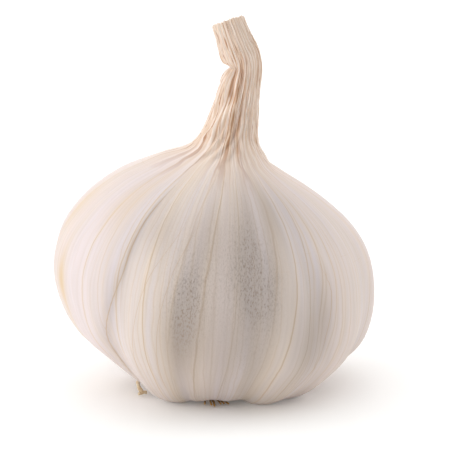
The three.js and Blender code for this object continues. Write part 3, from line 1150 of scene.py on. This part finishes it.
    def skin_of(self, root: Strand, number: int) -> tuple[list[Vector], list[Face]]:
        """Skin one dry root: crinkled, ridged and tapering.

        Args:
            root: The root.
            number: Which one it is, so that no two crinkle alike.

        Returns:
            Its points in millimetres and its faces.
        """
        spots = smooth_path(root.path, self.root_rings)
        last = len(spots) - 1
        points = [spots[0]]
        across = (spots[1] - spots[0]).orthogonal().normalized()
        for i, spot in enumerate(spots):
            share = i / last
            along = (spots[min(i + 1, last)] - spots[max(i - 1, 0)]).normalized()
            across = (across - along * across.dot(along)).normalized()
            beside = along.cross(across)
            moved = Vector((number * self.crinkle_shift, 0, 0))
            shake = noise.noise_vector(spot * self.crinkle_scale + moved) * self.crinkle
            shake *= min(self.crinkle_start * share, 1)
            thick = root.radius * (1 - self.root_taper * share)
            moved = Vector((0, number * self.thickness_shift, 0))
            varied = noise.noise(spot * self.thickness_scale + moved)
            thick *= self.thickness[0] + self.thickness[1] * varied
            for side in range(self.root_sides):
                turned = 2 * math.pi * side / self.root_sides
                ridge = 1 + self.ridge * math.cos(self.ridges * turned + number)
                ring = across * math.cos(turned) + beside * math.sin(turned)
                points.append(spot + shake + ring * thick * ridge)
        points.append(spots[-1])
        for point in points:
            point.z = max(point.z, self.lowest)
        return points, tube_faces(len(spots), self.root_sides)

    def build(self) -> Object:
        """Join the disc and every root in one mesh.

        Returns:
            The plate with its roots.
        """
        # Vector noise takes its offsets from this seed, and from the clock where none is set
        noise.seed_set(self.seed)
        draw = random_numbers(self.seed)
        long_root = [Vector(point) for point in self.long_root]
        roots = self.short_roots(draw) + self.spreading_roots(draw)
        roots.append(Strand(long_root, self.long_radius, True))
        roots += [Strand([*long_root[-2:], Vector(tip)], self.long_radius, True) for tip in self.long_tips]
        points, faces = self.disc()
        pale = [0.0] * len(points)
        for number, root in enumerate(roots):
            skin, strips = self.skin_of(root, number)
            faces += [tuple(len(points) + corner for corner in face) for face in strips]
            points += skin
            pale += [float(root.pale)] * len(skin)
        shift = Vector((*BOX_CENTRE, 0))
        piece = add_piece("root_plate_and_roots", [(point - shift) * MM for point in points], faces)
        paint(piece, Mark.PALE, np.array(pale))
        return piece

    def dress(self, piece: Object, root: "DryRoot") -> None:
        """Give the plate and roots their finish and their place in the frame.

        Args:
            piece: The plate with its roots.
            root: Their finish.
        """
        piece.data.materials.append(root.material())
        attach(piece, "root")
        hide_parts("root_plate")


# ----------------------------------------------------------------- finishes


@dataclass(frozen=True)
class Veins:
    """How far a point of the skin is from the nearest vein, and how strong that vein is."""

    near: Socket
    strength: Socket


@dataclass(frozen=True)
class VeinSet:
    """Veins that run from root to neck: how many, how unevenly set, and how far they jog sideways.

    Most is how strong they get, and the seed moves their noise. The uneven and the jog noise have
    their scale and how they are squashed along the skin, the wear noise has how it is squashed
    each way, and worn is where a vein starts to show and where it is full.
    """

    count: int
    uneven: float
    jog: float
    most: float
    seed: float
    uneven_noise: Pair = (0.09, 0.12)
    jog_noise: Pair = (0.3, 0.8)
    wear_noise: Point = (0.4, 0.4, 0.06)
    worn: Pair = (0.02, 0.38)

    def drift(self, tree: Tree, way: Socket, scale: float, squash: Point) -> Socket:
        """Draw slow noise over the skin, this set's own.

        Args:
            tree: The material's nodes.
            way: Place on the skin, in millimetres.
            scale: How many times a millimetre it changes.
            squash: What the place is multiplied by first.

        Returns:
            The noise, from 0 to 1.
        """
        inputs = {0: way, 1: squash, 2: (self.seed, 0, 0)}
        place = add_node(tree, "ShaderNodeVectorMath", inputs, operation="MULTIPLY_ADD").outputs[0]
        inputs = {"Vector": place, "Scale": scale, "Detail": 1.0}
        return add_node(tree, "ShaderNodeTexNoise", inputs).outputs["Fac"]

    def nodes(self, tree: Tree, way: Socket, round_belly: float) -> Veins:
        """Find the veins by counting them round the head.

        Args:
            tree: The material's nodes.
            way: Place on the skin, in millimetres.
            round_belly: Length round the belly in millimetres.

        Returns:
            Millimetres from the nearest vein, and its strength.
        """
        x, y, _ = add_node(tree, "ShaderNodeSeparateXYZ", {0: way}).outputs
        turned = add_node(tree, "ShaderNodeMath", {0: y, 1: x}, operation="ARCTAN2").outputs[0]
        inputs = {0: turned, 1: self.count / math.tau}
        count = add_node(tree, "ShaderNodeMath", inputs, operation="MULTIPLY").outputs[0]
        for (scale, squash), shift in ((self.uneven_noise, self.uneven), (self.jog_noise, self.jog)):
            inputs = {0: self.drift(tree, way, scale, (1, 1, squash)), 1: shift, 2: count}
            count = add_node(tree, "ShaderNodeMath", inputs, operation="MULTIPLY_ADD").outputs[0]
        off = add_node(tree, "ShaderNodeMath", {0: count, 1: 0.5}, operation="PINGPONG").outputs[0]
        inputs = {0: off, 1: round_belly / self.count}
        near = add_node(tree, "ShaderNodeMath", inputs, operation="MULTIPLY").outputs[0]
        number = add_node(tree, "ShaderNodeMath", {0: count}, operation="ROUND").outputs[0]
        luck = add_node(tree, "ShaderNodeTexWhiteNoise", {"W": number}, noise_dimensions="1D").outputs[0]
        wear = self.drift(tree, way, 1.0, self.wear_noise)
        both = add_node(tree, "ShaderNodeMath", {0: luck, 1: wear}, operation="MULTIPLY").outputs[0]
        inputs = {"Value": both, "From Min": self.worn[0], "From Max": self.worn[1], "To Max": self.most}
        return Veins(near, add_node(tree, "ShaderNodeMapRange", inputs).outputs[0])


@dataclass(frozen=True)
class Canvas:
    """What the layers of the wrapper's finish are drawn from.

    The way is the place on the skin in millimetres, the long way is the same drawn out along it,
    and the rim is the share of dry brown rim where one wrapper ends over the next.
    """

    tree: Tree
    way: Socket
    long_way: Socket
    rim: Socket
    marks: dict[Mark, Socket]


@dataclass(frozen=True)
class DryWrapper:
    """Outer bulb wrapper: dead leaf sheath dried in curing.

    It is thin, papery and matt, and lets a little light in, so the eye sees cool and warm bands
    of the fleshy scales under it, thin tan veins with cream beside them that run from root to
    neck, and grey mould specks where damp sat. On the neck it shrinks to hard ridges, straw brown
    in the creases, with painted shade there that deepens with the crease.
    """

    cool: str = "#DED5D8"
    warm: str = "#DED1C8"
    rosy: str = "#E8D9D7"
    straw: str = "#E3D0B8"
    halo: str = "#E8D8C6"
    vein: str = "#CDAE88"
    dark_vein: str = "#94764E"
    # Grey-beige of the grain, and of the painted shade in the grooves
    valley: str = "#BDB0A5"
    haze: str = "#A79E99"
    stain: str = "#665B53"
    # Brownish grey of the painted shade
    painted_shade: str = "#A5978D"
    yellowed: str = "#DCC19A"
    speck: str = "#8A6A48"
    neck: str = "#F6E6DA"
    neck_warm: str = "#E5CBB4"
    crease: str = "#AE7748"
    sole: str = "#BFA888"
    cut: str = "#DEC5A6"
    cut_dark: str = "#B08A61"
    roughness: float = 0.66
    ior: float = 1.46
    # A little light soaks in for a millimetre or so, red the furthest
    subsurface: float = 0.12
    soak: float = 1.5
    soak_hues: Point = (1.0, 0.75, 0.6)

    # Millimetres: a warm and a cool band are 9 mm wide side by side, and the grain is half a
    # millimetre; both are drawn out along the skin
    band: float = 9.0
    band_shift: float = 60
    grain: float = 0.55
    stretch: float = 0.045
    # Veins are about 0.2 mm wide and 1 to 4 mm apart at the belly
    belly_radius: float = 30
    vein_sets: tuple[VeinSet, ...] = (
        VeinSet(count=150, uneven=5, jog=0.6, most=0.28, seed=70),
        VeinSet(count=58, uneven=4, jog=0.12, most=0.62, seed=20),
    )
    vein_width: float = 0.2
    halo_width: float = 0.9
    halo_share: float = 0.45
    vein_core: float = 0.25
    # Fibres are counted round the belly too, where 1 mm stands for 0.14 mm on the neck
    fibres: VeinSet = VeinSet(count=44, uneven=7, jog=0.9, most=0.85, seed=45)
    fibre_width: float = 1.0
    fibre_core: float = 0.2
    straw_scale: float = 0.4
    # Cell mottle of dry skin is near 0.1 mm; it is drawn at 0.25 mm so that it shows
    mottle: float = 0.25
    cell_shape: Point = (1, 1, 0.4)
    speck_gap: float = 7.0
    speck_size: float = 0.3
    speck_core: float = 3
    yellow_specks: float = 0.5
    speck_share: float = 0.75

    # Where each layer of colour starts and is full, and its most
    lap_rim: Rise = (0.18, 0.06, 0.7)
    # Painted shade in the grooves between the cloves
    valley_shade: Rise = (0.0, 1.0, 0.25)
    mould: Rise = (0.0, 1.0, 0.5)
    dots: Rise = (0.44, 0.7, 0.58)
    specked: Rise = (0.72, 0.9, 1.0)
    straw_fibre: Rise = (0.38, 0.66, 1.0)
    # Straw brown with painted shade, stronger the deeper the neck's creases are
    crease_brown_and_shade: Rise = (0.1, 0.9, 0.15)
    fibre_depth: Rise = (-1.5, 0.3, 1.0)

    # Relief of the grain in millimetres, and how high veins and mottle stand next to it
    relief: float = 0.08
    grain_scale: float = 0.5
    vein_height: float = 0.6
    mottle_height: float = 0.35
    mottle_scale: float = 0.6

    def material(self) -> bpy.types.Material:
        """Build the procedural finish.

        Returns:
            The material.
        """
        material = blank_material("dry_papery_wrapper")
        tree = material.node_tree
        way = add_node(tree, "ShaderNodeAttribute", attribute_name=Mark.WAY.value).outputs["Vector"]
        inputs = {0: way, 1: (1, 1, self.stretch)}
        long_way = add_node(tree, "ShaderNodeVectorMath", inputs, operation="MULTIPLY").outputs[0]
        marks = {
            mark: add_node(tree, "ShaderNodeAttribute", attribute_name=mark.value).outputs["Fac"]
            for mark in Mark
            if mark not in (Mark.WAY, Mark.PALE)
        }
        off = add_node(tree, "ShaderNodeMath", {0: marks[Mark.LAP]}, operation="ABSOLUTE").outputs[0]
        on = Canvas(tree, way, long_way, share_of(tree, off, self.lap_rim), marks)
        veins = [kind.nodes(tree, way, math.tau * self.belly_radius) for kind in self.vein_sets]
        head = self.with_marks(on, self.with_veins(on, self.bands(on), veins))
        inputs = {
            "Base Color": self.with_neck(on, head),
            "Roughness": self.roughness,
            "IOR": self.ior,
            "Subsurface Weight": self.subsurface,
            "Subsurface Radius": self.soak_hues,
            "Subsurface Scale": self.soak * MM,
            "Normal": self.relief_normal(on, veins[-1]),
        }
        shader = add_node(tree, "ShaderNodeBsdfPrincipled", inputs)
        add_node(tree, "ShaderNodeOutputMaterial", {"Surface": shader.outputs[0]})
        return material

    def bands(self, on: Canvas) -> Socket:
        """Mix the cool, warm, rosy and straw bands of the head, and its grain.

        Args:
            on: What the layers are drawn from.

        Returns:
            The colour of clean skin between its veins.
        """
        # Scale, detail, rise and colour of each layer of noise
        layers = (
            (2 / self.band, 2.0, (0.38, 0.62, 1.0), self.warm),
            (0.5 / self.band, 2.0, (0.45, 0.65, 0.6), self.rosy),
            (3.1 / self.band, 1.0, (0.55, 0.72, 0.4), self.straw),
            (1 / self.grain, 3.0, (0.35, 0.7, 0.18), self.valley),
        )
        colour: Colour = self.cool
        for number, (scale, detail, rise, hue) in enumerate(layers):
            inputs = {0: on.long_way, 1: (0, self.band_shift * number, 0)}
            moved = add_node(on.tree, "ShaderNodeVectorMath", inputs, operation="ADD").outputs[0]
            inputs = {"Vector": moved, "Scale": scale, "Detail": detail}
            cloud = add_node(on.tree, "ShaderNodeTexNoise", inputs).outputs["Fac"]
            colour = layered(on.tree, colour, (share_of(on.tree, cloud, rise), hue))
        return colour

    def with_veins(self, on: Canvas, colour: Socket, veins: list[Veins]) -> Socket:
        """Draw cream halos and thin tan veins, browner under painted shade and at lap edges.

        Args:
            on: What the layers are drawn from.
            colour: The colour between the veins.
            veins: The veins, fine ones first.

        Returns:
            The colour with its veins.
        """
        # Veins turn browner under the painted shade
        tan = layered(on.tree, self.vein, (on.marks[Mark.PAINTED_SHADE], self.dark_vein))
        lines = ((self.halo_width, self.halo_share, self.halo), (self.vein_width, 1.0, tan))
        for kind in veins:
            for width, most, hue in lines:
                line = share_of(on.tree, kind.near, (width, self.vein_core * width, most), kind.strength)
                colour = layered(on.tree, colour, (line, hue))
        return layered(on.tree, colour, (on.rim, self.vein))

    def with_marks(self, on: Canvas, colour: Socket) -> Socket:
        """Lay painted shade in patches and in the valleys, mould, brown specks and the brown of the sole
        over the head.

        Args:
            on: What the layers are drawn from.
            colour: The colour of clean skin.

        Returns:
            The colour with its marks.
        """
        tree, marks = on.tree, on.marks
        mould, painted_shade, yellowed = marks[Mark.STAIN], marks[Mark.PAINTED_SHADE], marks[Mark.YELLOWED]
        inputs = {0: on.way, 1: self.cell_shape}
        cells = add_node(tree, "ShaderNodeVectorMath", inputs, operation="MULTIPLY").outputs[0]
        inputs = {"Vector": cells, "Scale": 1 / self.mottle, "Detail": 3.0, "Roughness": 0.7}
        mottle = add_node(tree, "ShaderNodeTexNoise", inputs).outputs["Fac"]
        inputs = {"Vector": cells, "Scale": 1 / self.speck_gap, "Randomness": 1.0}
        specks = add_node(tree, "ShaderNodeTexVoronoi", inputs).outputs
        chance = add_node(tree, "ShaderNodeSeparateColor", {0: specks["Color"]}).outputs[0]
        inputs = {0: yellowed, 1: self.yellow_specks, 2: chance}
        likely = add_node(tree, "ShaderNodeMath", inputs, operation="MULTIPLY_ADD").outputs[0]
        chosen = share_of(tree, likely, self.specked)
        size = self.speck_size / self.speck_gap
        speck = (size, size / self.speck_core, self.speck_share)
        return layered(
            tree,
            colour,
            (yellowed, self.yellowed),
            # Painted shade in patches, mostly over the front of the head
            (painted_shade, self.painted_shade),
            # Painted shade in the grooves between the cloves
            (share_of(tree, marks[Mark.VALLEY], self.valley_shade), self.valley),
            (share_of(tree, mould, self.mould), self.haze),
            # Mould dots, browner under the painted shade
            (share_of(tree, mottle, self.dots, mould), layered(tree, self.stain, (painted_shade, self.speck))),
            (share_of(tree, specks["Distance"], speck, chosen), self.speck),
            (marks[Mark.SOLE], self.sole),
        )

    def with_neck(self, on: Canvas, head: Socket) -> Socket:
        """Warm the skin up the neck: brown with painted shade in creases, brown along old fibres and at
        the cut.

        Args:
            on: What the layers are drawn from.
            head: The colour of the head.

        Returns:
            The colour of the whole skin.
        """
        tree, fold = on.tree, on.marks[Mark.FOLD]
        inputs = {"Vector": on.long_way, "Scale": self.straw_scale, "Detail": 1.0}
        straw = add_node(tree, "ShaderNodeTexNoise", inputs).outputs["Fac"]
        straw = share_of(tree, straw, self.straw_fibre)
        fibres = self.fibres.nodes(tree, on.way, math.tau * self.belly_radius)
        rise = (self.fibre_width, self.fibre_core * self.fibre_width, 1.0)
        deep = share_of(tree, fold, self.fibre_depth)
        neck = layered(
            tree,
            self.neck,
            (straw, self.neck_warm),
            # Straw brown with painted shade, stronger the deeper the crease
            (share_of(tree, fold, self.crease_brown_and_shade), self.crease),
            (share_of(tree, fibres.near, rise, fibres.strength, deep), self.crease),
            (on.rim, self.crease),
        )
        cut = layered(tree, self.cut, (straw, self.cut_dark))
        return layered(tree, head, (on.marks[Mark.NECK], neck), (on.marks[Mark.CUT], cut))

    def relief_normal(self, on: Canvas, veins: Veins) -> Socket:
        """Raise veins, grain and cell mottle a few hundredths of a millimetre.

        Args:
            on: What the layers are drawn from.
            veins: The coarse veins.

        Returns:
            The normal of the skin.
        """
        tree = on.tree
        inputs = {"Vector": on.long_way, "Scale": self.grain_scale / self.grain, "Detail": 3.0}
        height = add_node(tree, "ShaderNodeTexNoise", inputs).outputs["Fac"]
        inputs = {"Vector": on.way, "Scale": self.mottle_scale / self.mottle}
        mottle = add_node(tree, "ShaderNodeTexNoise", inputs).outputs["Fac"]
        line = share_of(tree, veins.near, (2 * self.vein_width, 0.0, 1.0), veins.strength)
        for part, share in ((line, self.vein_height), (mottle, self.mottle_height)):
            inputs = {0: part, 1: share, 2: height}
            height = add_node(tree, "ShaderNodeMath", inputs, operation="MULTIPLY_ADD").outputs[0]
        inputs = {"Height": height, "Distance": self.relief * MM, "Strength": 1.0}
        return add_node(tree, "ShaderNodeBump", inputs).outputs[0]


@dataclass(frozen=True)
class DryRoot:
    """Corky plate and dry roots: dead wiry tissue, golden tan, dull and rough."""

    tan: str = "#D6AB69"
    brown: str = "#A3763F"
    pale: str = "#E2D1B4"
    roughness: float = 0.85
    ior: float = 1.45
    # Millimetres; the cork is granular at half a millimetre
    grain: float = 0.5
    grain_scale: float = 0.5
    relief: float = 0.12
    # The noise where the brown starts and is full, and how much tan shows on a pale root there
    browned: Pair = (0.35, 0.65)
    pale_tan: float = 0.35

    def material(self) -> bpy.types.Material:
        """Build the procedural finish: brown and tan cork grain, lighter on the pale roots.

        Returns:
            The material.
        """
        material = blank_material("dry_cork_and_root")
        tree = material.node_tree
        place = add_node(tree, "ShaderNodeTexCoord").outputs["Object"]
        inputs = {"Vector": place, "Scale": self.grain_scale / (self.grain * MM), "Detail": 4.0}
        coarse = add_node(tree, "ShaderNodeTexNoise", inputs).outputs["Fac"]
        inputs = {"Value": coarse, "From Min": self.browned[0], "From Max": self.browned[1]}
        share = add_node(tree, "ShaderNodeMapRange", inputs).outputs[0]
        pale = add_node(tree, "ShaderNodeAttribute", attribute_name=Mark.PALE.value).outputs["Fac"]
        inputs = {0: share, 1: self.pale_tan}
        half = add_node(tree, "ShaderNodeMath", inputs, operation="MULTIPLY").outputs[0]
        light = layered(tree, self.pale, (half, self.tan))
        inputs = {"Height": coarse, "Distance": self.relief * MM, "Strength": 1.0}
        inputs = {
            "Base Color": layered(tree, self.tan, (share, self.brown), (pale, light)),
            "Roughness": self.roughness,
            "IOR": self.ior,
            "Normal": add_node(tree, "ShaderNodeBump", inputs).outputs[0],
        }
        shader = add_node(tree, "ShaderNodeBsdfPrincipled", inputs)
        add_node(tree, "ShaderNodeOutputMaterial", {"Surface": shader.outputs[0]})
        return material


# -------------------------------------------------------------------- studio


@dataclass(frozen=True)
class Glow:
    """A soft bright patch of the light tent: where it is, and how bright and narrow."""

    direction: Point
    strength: float
    sharpness: float


@dataclass
class Studio:
    """Matt white card for a floor, a soft light tent, and the camera; lengths are in metres."""

    floor_size: float = 4.0
    floor_colour: str = "#FCFCFB"
    floor_roughness: float = 0.9
    floor_specular: float = 0.1
    floor_glow: float = 0.085
    target: Point = (0.00197, -0.0001, 0.0308)
    elevation: float = 12
    distance: float = 0.5
    # Millimetres, as lenses and sensors are named
    focal_length: float = 212.8
    sensor_width: float = 36
    glows: tuple[Glow, ...] = (
        Glow((-1.0, 0.0, 0.25), 2.7, 10),
        Glow((-0.6, -0.8, 0.25), 1.55, 10),
        Glow((0.87, 0.5, 0.25), 2.75, 10),
        Glow((-0.1, 1.0, 0.25), 1.95, 10),
        Glow((-0.6, 0.5, 0.8), 0.5, 8),
        Glow((0.0, -0.7, 0.7), 0.42, 8),
        Glow((0.0, 0.0, 1.0), 1.75, 4),
    )
    backdrop: float = 1.0

    def floor(self) -> None:
        """Lay the floor that the bulb stands on; a faint glow of its own keeps it white."""
        half = self.floor_size / 2
        corners = [(-half, -half, 0), (half, -half, 0), (half, half, 0), (-half, half, 0)]
        piece = add_piece("floor", corners, [(0, 1, 2, 3)])
        material = blank_material("matt_white_card")
        inputs = {
            "Base Color": hex_to_linear(self.floor_colour),
            "Roughness": self.floor_roughness,
            "Specular IOR Level": self.floor_specular,
            "Emission Color": (1, 1, 1, 1),
            "Emission Strength": self.floor_glow,
        }
        shader = add_node(material.node_tree, "ShaderNodeBsdfPrincipled", inputs)
        add_node(material.node_tree, "ShaderNodeOutputMaterial", {"Surface": shader.outputs[0]})
        piece.data.materials.append(material)

    def light(self) -> None:
        """Light the tent, which is plain white where the camera sees it."""
        world = bpy.data.worlds.new("soft_tent")
        world.use_nodes = True
        bpy.context.scene.world = world
        tree = world.node_tree
        tree.nodes.clear()
        way = add_node(tree, "ShaderNodeTexCoord").outputs["Generated"]
        total: float | Socket = 0.0
        for glow in self.glows:
            inputs = {0: way, 1: Vector(glow.direction).normalized()}
            facing = add_node(tree, "ShaderNodeVectorMath", inputs, operation="DOT_PRODUCT")
            inputs = {0: facing.outputs["Value"], 1: 0.0}
            ahead = add_node(tree, "ShaderNodeMath", inputs, operation="MAXIMUM").outputs[0]
            inputs = {0: ahead, 1: glow.sharpness}
            soft = add_node(tree, "ShaderNodeMath", inputs, operation="POWER").outputs[0]
            inputs = {0: soft, 1: glow.strength, 2: total}
            total = add_node(tree, "ShaderNodeMath", inputs, operation="MULTIPLY_ADD").outputs[0]
        seen = add_node(tree, "ShaderNodeLightPath").outputs["Is Camera Ray"]
        inputs = {0: seen, 2: total, 3: self.backdrop}
        strength = add_node(tree, "ShaderNodeMix", inputs, data_type="FLOAT").outputs[0]
        sky = add_node(tree, "ShaderNodeBackground", {"Color": (1, 1, 1, 1), "Strength": strength})
        add_node(tree, "ShaderNodeOutputWorld", {"Surface": sky.outputs[0]})

    def camera(self) -> None:
        """Stand the camera in front, a little above the bulb."""
        lens = bpy.data.cameras.new("camera")
        lens.lens = self.focal_length
        lens.sensor_width = self.sensor_width
        camera = bpy.data.objects.new("camera", lens)
        tilt = math.radians(self.elevation)
        back = Vector((0, -math.cos(tilt), math.sin(tilt)))
        camera.location = Vector(self.target) + back * self.distance
        camera.rotation_euler = back.to_track_quat("Z", "Y").to_euler()
        bpy.context.scene.collection.objects.link(camera)
        bpy.context.scene.camera = camera

    def build(self) -> None:
        """Set up floor, light, camera and the plain view of colours."""
        self.floor()
        self.light()
        self.camera()
        bpy.context.scene.view_settings.view_transform = "Standard"
        bpy.context.scene.view_settings.look = "None"


def main() -> None:
    """Build and dress the bulb, and report each piece."""
    logging.basicConfig(level=logging.INFO, format="%(name)s: %(message)s")
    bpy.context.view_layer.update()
    bulb = Bulb()
    skin = bulb.build()
    bulb.dress(skin, DryWrapper())
    log.info("%s: %d faces", skin.name, len(skin.data.polygons))
    plate = RootPlate()
    roots = plate.build()
    plate.dress(roots, DryRoot())
    log.info("%s: %d faces", roots.name, len(roots.data.polygons))
    Studio().build()


if __name__ == "__main__":
    main()
